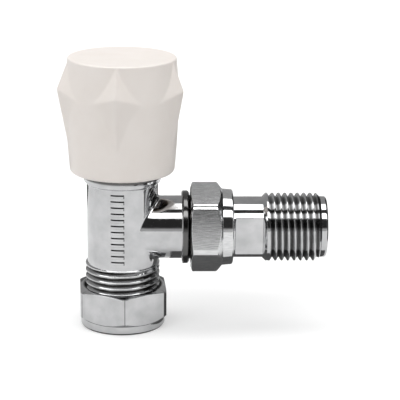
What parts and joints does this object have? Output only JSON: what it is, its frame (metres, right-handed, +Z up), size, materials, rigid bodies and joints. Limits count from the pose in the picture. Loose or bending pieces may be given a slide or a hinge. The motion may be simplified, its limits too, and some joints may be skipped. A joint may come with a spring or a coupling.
{
  "type": "manual radiator valve",
  "caption": "Chrome angle radiator valve with a faceted white handwheel, a compression inlet and a union tail.",
  "frame": {"origin": "centre of the pipe hole in the underside of the compression nut, on the spindle axis", "axes": "+Z up the spindle towards the handwheel, +X along the branch towards the radiator"},
  "size_m": [0.079, 0.036, 0.0809],
  "materials": {
    "chrome": "bright chrome plate on brass",
    "satin_chrome": "satin chrome plate, brushed flats",
    "wheel_plastic": "moulded, soft gloss",
    "brass": "machined",
    "spring_steel": "bright spring steel",
    "slip_plastic": "smooth low-friction plastic",
    "seal_rubber": "smooth black seal rubber"
  },
  "bodies": {
    "valve": {"valve_body": "chrome", "bonnet": "brass", "bonnet_o_ring": "seal_rubber", "thrust_washer": "slip_plastic"},
    "wheel": {"handwheel": "wheel_plastic", "wheel_spring_clip": "spring_steel", "spindle": "brass", "spindle_circlip": "spring_steel", "spindle_lower_o_ring": "seal_rubber", "spindle_upper_o_ring": "seal_rubber"},
    "jumper": {"jumper": "brass", "valve_washer": "seal_rubber", "washer_screw": "brass"},
    "olive": {"olive": "brass"},
    "compression_nut": {"compression_nut": "chrome"},
    "tail": {"radiator_tail": "chrome", "tail_retaining_ring": "spring_steel", "tail_o_ring": "seal_rubber"},
    "union_nut": {"union_nut": "satin_chrome"}
  },
  "joints": [
    {"name": "wheel_turn", "type": "hinge", "parent": "valve", "child": "wheel", "pos_m": [0, 0, 0.06], "axis": [0, 0, 1], "range_deg": [0, 900]},
    {"name": "jumper_lift", "type": "slide", "parent": "valve", "child": "jumper", "axis": [0, 0, 1], "range_m": [0, 0.00375]},
    {"name": "nut_travel", "type": "slide", "parent": "valve", "child": "olive", "axis": [0, 0, -1], "range_m": [0, 0.00544]},
    {"name": "nut_turn", "type": "hinge", "parent": "olive", "child": "compression_nut", "pos_m": [0, 0, 0.006], "axis": [0, 0, -1], "range_deg": [0, 1080]},
    {"name": "tail_travel", "type": "slide", "parent": "valve", "child": "tail", "axis": [1, 0, 0], "range_m": [0, 0.00544]},
    {"name": "union_turn", "type": "hinge", "parent": "tail", "child": "union_nut", "pos_m": [0.026, 0, 0.0297], "axis": [1, 0, 0], "range_deg": [0, 1080]}
  ],
  "couplings": [
    {"joint": "wheel_turn", "follows": "jumper_lift", "rad_per_m": 4188.8},
    {"joint": "nut_turn", "follows": "nut_travel", "rad_per_m": 3463.7},
    {"joint": "union_turn", "follows": "tail_travel", "rad_per_m": 3463.7}
  ]
}
